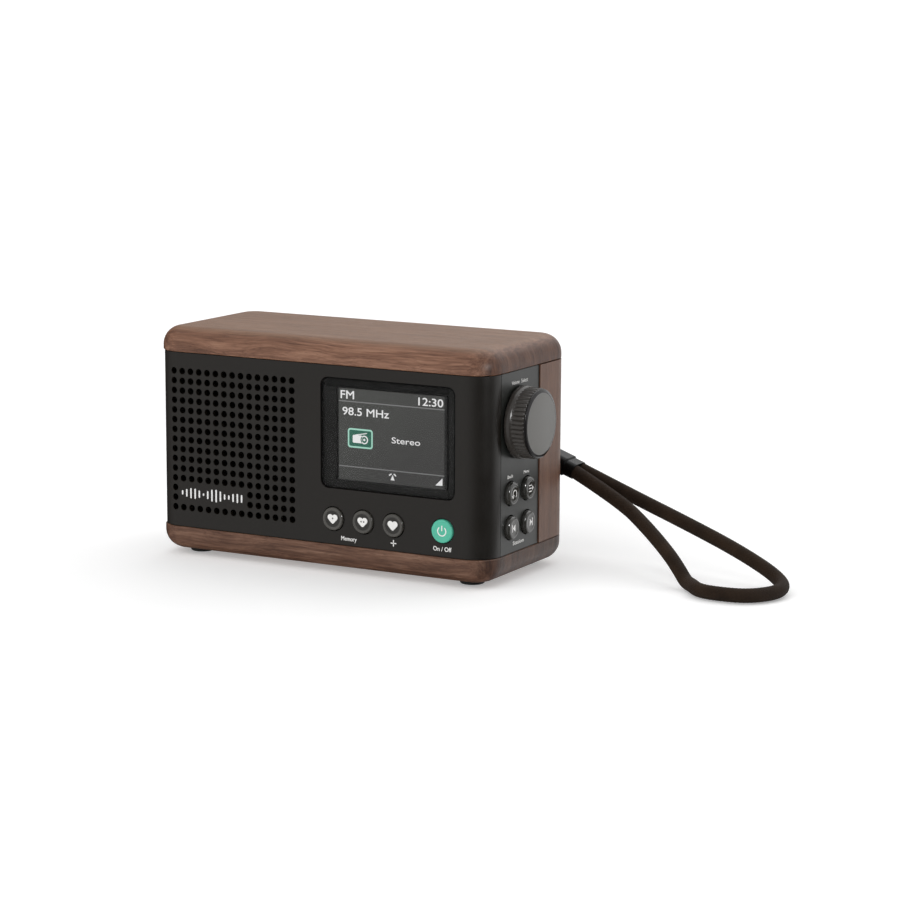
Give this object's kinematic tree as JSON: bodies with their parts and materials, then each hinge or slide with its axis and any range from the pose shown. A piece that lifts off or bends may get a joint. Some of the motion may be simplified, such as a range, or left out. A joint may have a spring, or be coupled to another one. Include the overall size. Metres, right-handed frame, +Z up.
{
  "type": "portable radio",
  "caption": "Small portable radio with wooden top and base, perforated front, colour display, push buttons, side knob, folding aerial and corded wrist strap.",
  "frame": {"origin": "on the ground, under the centre of the outline of the radio with its knob, front buttons and strap stud, and without the strap", "axes": "+X to the right of the front, +Y from the front to the back, +Z up"},
  "size_m": [0.2647, 0.0863, 0.0958],
  "materials": {
    "walnut": "satin",
    "black_shell": "matte",
    "grey_panel": "matte",
    "knob_grip": "satin",
    "knob_face": "satin",
    "button_grey": "satin",
    "standby_green": "satin",
    "display_clear": "gloss",
    "display_frame": "gloss",
    "display_panel": "gloss",
    "rubber": "matte",
    "chassis_black": "matte",
    "cloth": "woven",
    "speaker_paper": "matte",
    "speaker_rubber": "matte",
    "steel": "brushed",
    "chrome": "polished",
    "aerial_black": "satin",
    "circuit": "satin",
    "component_black": "matte",
    "contact": "polished",
    "battery_wrap": "satin",
    "ferrule": "satin",
    "cord": "woven"
  },
  "bodies": {
    "case": {"top_cap": "walnut", "bottom_cap": "walnut", "rear_surround": "walnut", "front_panel": "black_shell", "back_panel": "black_shell", "encoder_body": "black_shell", "right_side_panel": "grey_panel", "left_side_panel": "grey_panel", "display_window": "display_clear", "display_bezel": "display_frame", "lcd_panel": "display_panel", "backlight": "display_panel", "rubber_feet": "rubber", "chassis_base": "chassis_black", "chassis_top": "chassis_black", "battery_bay": "chassis_black", "speaker_basket": "chassis_black", "grille_cloth": "cloth", "speaker_cone": "speaker_paper", "speaker_dust_cap": "speaker_paper", "speaker_surround": "speaker_rubber", "speaker_magnet": "steel", "speaker_screws": "steel", "case_screws": "steel", "board_screws": "steel", "strap_lug": "steel", "usb_socket": "steel", "tuner_module": "steel", "main_board": "circuit", "front_key_board": "circuit", "side_key_board": "circuit", "socket_board": "circuit", "amplifier_chip": "component_black", "front_key_switches": "component_black", "side_key_switches": "component_black", "headphone_socket": "component_black", "battery_contacts": "contact", "battery_pack": "battery_wrap"},
    "preset_key_1": {"preset_button_1": "button_grey"},
    "preset_key_2": {"preset_button_2": "button_grey"},
    "preset_key_3": {"preset_button_3": "button_grey"},
    "standby_key": {"standby_button": "standby_green"},
    "back_key": {"back_button": "button_grey"},
    "menu_key": {"menu_button": "button_grey"},
    "previous_key": {"previous_button": "button_grey"},
    "next_key": {"next_button": "button_grey"},
    "knob_plunger": {"encoder_slider": "chassis_black"},
    "knob": {"encoder_shaft": "steel", "knob_body": "knob_grip", "knob_cap": "knob_face"},
    "battery_flap": {"battery_door": "black_shell"},
    "aerial_swivel_base": {"aerial_base": "aerial_black", "aerial_pin": "steel"},
    "aerial_arm": {"aerial_elbow": "aerial_black", "aerial_tube_1": "chrome"},
    "aerial_second_section": {"aerial_tube_2": "chrome"},
    "aerial_third_section": {"aerial_tube_3": "chrome"},
    "aerial_end_section": {"aerial_tip": "chrome"},
    "strap": {"strap_ferrule": "ferrule", "strap_cord": "cord"}
  },
  "joints": [
    {"name": "preset_key_1_press", "type": "slide", "parent": "case", "child": "preset_key_1", "axis": [0, 1, 0], "range_m": [0, 0.0008], "stiffness_N_per_m": 500, "springref_m": -0.0004},
    {"name": "preset_key_2_press", "type": "slide", "parent": "case", "child": "preset_key_2", "axis": [0, 1, 0], "range_m": [0, 0.0008], "stiffness_N_per_m": 500, "springref_m": -0.0004},
    {"name": "preset_key_3_press", "type": "slide", "parent": "case", "child": "preset_key_3", "axis": [0, 1, 0], "range_m": [0, 0.0008], "stiffness_N_per_m": 500, "springref_m": -0.0004},
    {"name": "standby_key_press", "type": "slide", "parent": "case", "child": "standby_key", "axis": [0, 1, 0], "range_m": [0, 0.0008], "stiffness_N_per_m": 500, "springref_m": -0.0004},
    {"name": "back_key_press", "type": "slide", "parent": "case", "child": "back_key", "axis": [-1, 0, 0], "range_m": [0, 0.0008], "stiffness_N_per_m": 500, "springref_m": -0.0004},
    {"name": "menu_key_press", "type": "slide", "parent": "case", "child": "menu_key", "axis": [-1, 0, 0], "range_m": [0, 0.0008], "stiffness_N_per_m": 500, "springref_m": -0.0004},
    {"name": "previous_key_press", "type": "slide", "parent": "case", "child": "previous_key", "axis": [-1, 0, 0], "range_m": [0, 0.0008], "stiffness_N_per_m": 500, "springref_m": -0.0004},
    {"name": "next_key_press", "type": "slide", "parent": "case", "child": "next_key", "axis": [-1, 0, 0], "range_m": [0, 0.0008], "stiffness_N_per_m": 500, "springref_m": -0.0004},
    {"name": "knob_press", "type": "slide", "parent": "case", "child": "knob_plunger", "axis": [-1, 0, 0], "range_m": [0, 0.0005], "stiffness_N_per_m": 1500, "springref_m": -0.0004},
    {"name": "knob_turn", "type": "hinge", "parent": "knob_plunger", "child": "knob", "pos_m": [0.07385, -0.01495, 0.06475], "axis": [1, 0, 0], "continuous": true},
    {"name": "battery_flap_hinge", "type": "hinge", "parent": "case", "child": "battery_flap", "pos_m": [-0.03175, 0.0286, 0.0226], "axis": [-1, 0, 0], "range_deg": [0, 75]},
    {"name": "aerial_swivel", "type": "hinge", "parent": "case", "child": "aerial_swivel_base", "pos_m": [0.05225, 0.03685, 0.071], "axis": [0, 1, 0], "range_deg": [0, 180]},
    {"name": "aerial_tilt", "type": "hinge", "parent": "aerial_swivel_base", "child": "aerial_arm", "pos_m": [0.05225, 0.03685, 0.071], "axis": [0, 0, -1], "range_deg": [0, 90]},
    {"name": "aerial_extend", "type": "slide", "parent": "aerial_arm", "child": "aerial_second_section", "axis": [-1, 0, 0], "range_m": [0, 0.085]},
    {"name": "aerial_extend_third", "type": "slide", "parent": "aerial_second_section", "child": "aerial_third_section", "axis": [-1, 0, 0], "range_m": [0, 0.085]},
    {"name": "aerial_extend_end", "type": "slide", "parent": "aerial_third_section", "child": "aerial_end_section", "axis": [-1, 0, 0], "range_m": [0, 0.085]},
    {"name": "strap_swing", "type": "hinge", "parent": "case", "child": "strap", "pos_m": [0.05525, 0.03755, 0.0437], "axis": [0, -1, 0], "range_deg": [0, 60]}
  ],
  "couplings": [
    {"joint": "aerial_extend_third", "follows": "aerial_extend", "ratio": 1},
    {"joint": "aerial_extend_end", "follows": "aerial_extend", "ratio": 1}
  ]
}
